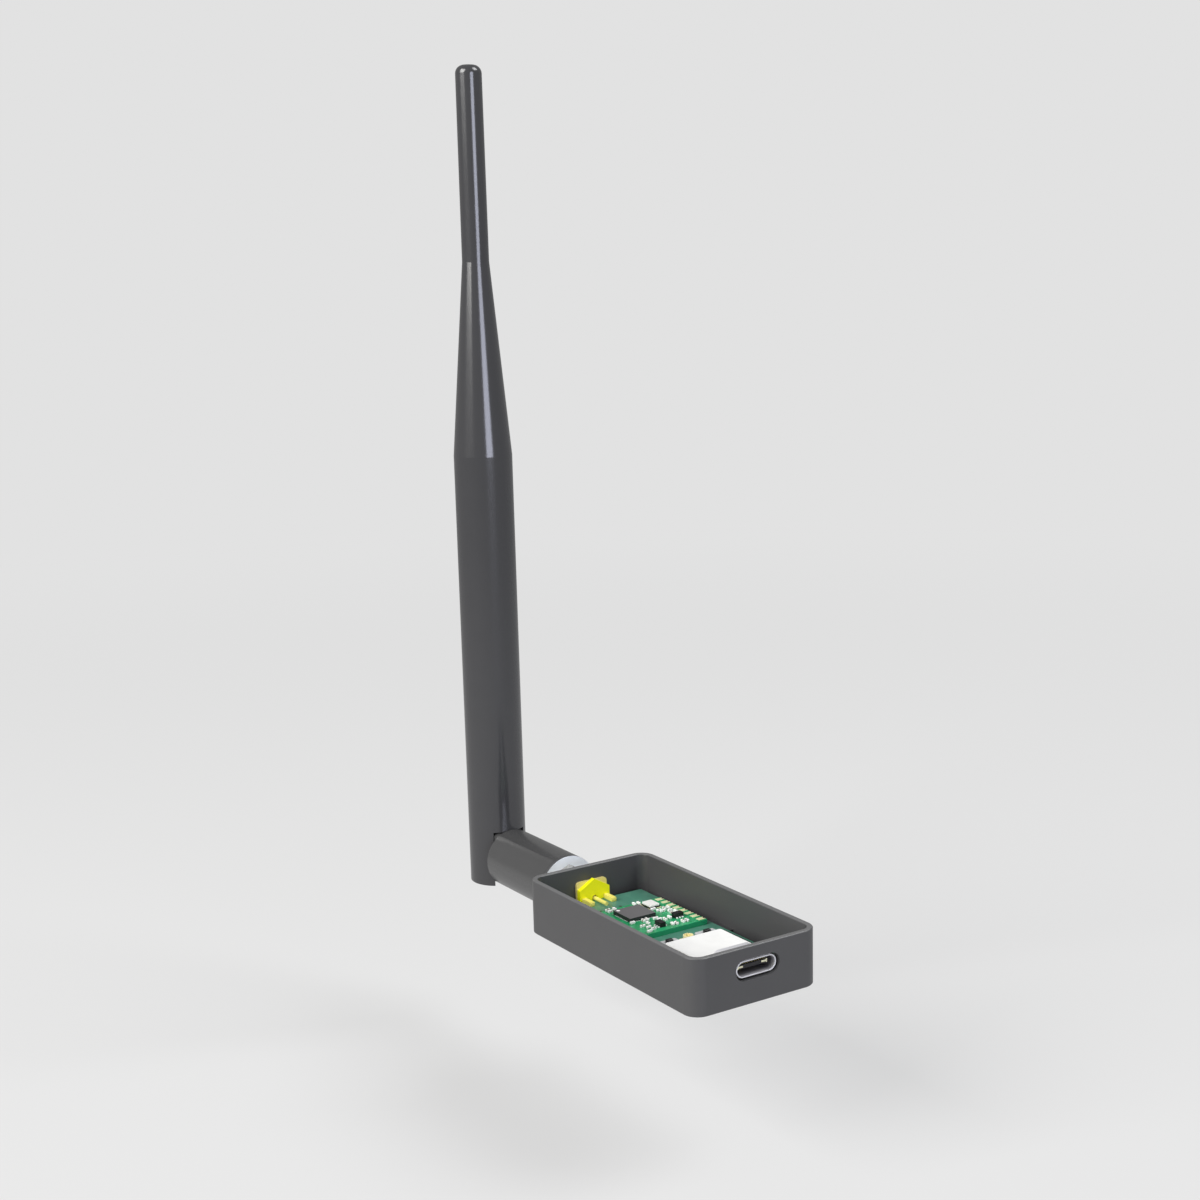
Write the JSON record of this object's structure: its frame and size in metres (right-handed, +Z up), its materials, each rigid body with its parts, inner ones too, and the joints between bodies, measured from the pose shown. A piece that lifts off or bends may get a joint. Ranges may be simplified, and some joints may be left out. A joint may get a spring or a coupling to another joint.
{
  "type": "rf gateway",
  "caption": "Open dark tray with a radio module, a small controller board with a USB-C socket, and a tilting whip antenna on a threaded coaxial socket.",
  "frame": {"origin": "centre of the tray's flat underside", "axes": "+Z up, out of the tray's open side; -Y out of the USB socket; +X across the tray; the antenna leaves the rear wall at +Y"},
  "size_m": [0.0282, 0.0988, 0.1699],
  "materials": {
    "case_plastic": "fine matte moulded dark grey plastic",
    "antenna_plastic": "satin black moulded plastic",
    "carrier_laminate": "dull green solder mask over glass laminate",
    "module_laminate": "bright green solder mask over glass laminate",
    "dark_laminate": "black solder mask over glass laminate",
    "can_steel": "satin nickel-silver sheet",
    "chip_plastic": "fine matte moulding compound",
    "capacitor_ceramic": "pale ceramic with tinned ends",
    "crystal_steel": "bright lid",
    "crystal_ceramic": "dark fired ceramic",
    "gold_plate": "pale gold plating",
    "yellow_brass": "bright yellow gold plating",
    "tinned_leads": "tinned copper",
    "shell_steel": "drawn steel, bright nickel plate",
    "black_insulator": "black glass-filled nylon",
    "white_insulator": "white fluoropolymer",
    "switch_grey": "light grey moulding",
    "plunger_black": "satin black nylon",
    "coax_cream": "cream moulding",
    "nickel": "nickel plate on brass",
    "disc_silver": "fine turned face, clear satin",
    "cable_jacket": "smooth black jacket",
    "tube_brass": "drawn tube",
    "spacer_foam": "white foam plastic"
  },
  "bodies": {
    "root": {"tray": "case_plastic", "carrier_board": "carrier_laminate", "radio_board": "module_laminate", "radio_pads": "gold_plate", "radio_chip": "chip_plastic", "crystal_base": "crystal_ceramic", "crystal_lid": "crystal_steel", "rf_switches": "chip_plastic", "rf_switch_leads": "tinned_leads", "radio_small_parts": "capacitor_ceramic", "controller_board": "dark_laminate", "shield_can": "can_steel", "controller_contacts": "gold_plate", "controller_chip": "chip_plastic", "controller_small_parts": "capacitor_ceramic", "left_switch_body": "switch_grey", "right_switch_body": "switch_grey", "coax_base": "coax_cream", "coax_ring": "gold_plate", "coax_pin": "gold_plate", "usb_shell": "shell_steel", "usb_insulator": "black_insulator", "usb_latches": "gold_plate", "usb_contacts": "gold_plate", "socket_body": "yellow_brass", "socket_plate": "gold_plate", "socket_legs": "gold_plate", "socket_pin": "gold_plate", "socket_insulator": "white_insulator", "wall_washer": "nickel", "wall_nut": "nickel"},
    "left_button": {"left_plunger": "plunger_black"},
    "right_button": {"right_plunger": "plunger_black"},
    "screw_collar": {"coupling_nut": "nickel"},
    "antenna_base": {"plug_body": "nickel", "retaining_ring": "nickel", "end_disc": "disc_silver", "plug_insulator": "white_insulator", "plug_pin": "gold_plate", "base_barrel": "antenna_plastic", "base_cable": "cable_jacket", "hinge_pin": "nickel"},
    "mast": {"mast_sleeve": "antenna_plastic", "ground_tube": "tube_brass", "mast_cable": "cable_jacket", "lower_spacer": "spacer_foam", "upper_spacer": "spacer_foam", "whip_wire": "tube_brass", "tip_spacer": "spacer_foam"}
  },
  "joints": [
    {"name": "left_button_press", "type": "slide", "parent": "root", "child": "left_button", "axis": [0, 0, -1], "range_m": [0, 0.0002], "stiffness_N_per_m": 5000},
    {"name": "right_button_press", "type": "slide", "parent": "root", "child": "right_button", "axis": [0, 0, -1], "range_m": [0, 0.0002], "stiffness_N_per_m": 5000},
    {"name": "collar_turn", "type": "hinge", "parent": "root", "child": "screw_collar", "pos_m": [0, 0.0331, 0.00439], "axis": [0, 1, 0], "continuous": true},
    {"name": "antenna_swivel", "type": "hinge", "parent": "root", "child": "antenna_base", "pos_m": [0, 0.035, 0.00439], "axis": [0, 1, 0], "continuous": true},
    {"name": "antenna_tilt", "type": "hinge", "parent": "antenna_base", "child": "mast", "pos_m": [0, 0.06656, 0.00239], "axis": [-1, 0, 0], "range_deg": [0, 90]}
  ]
}
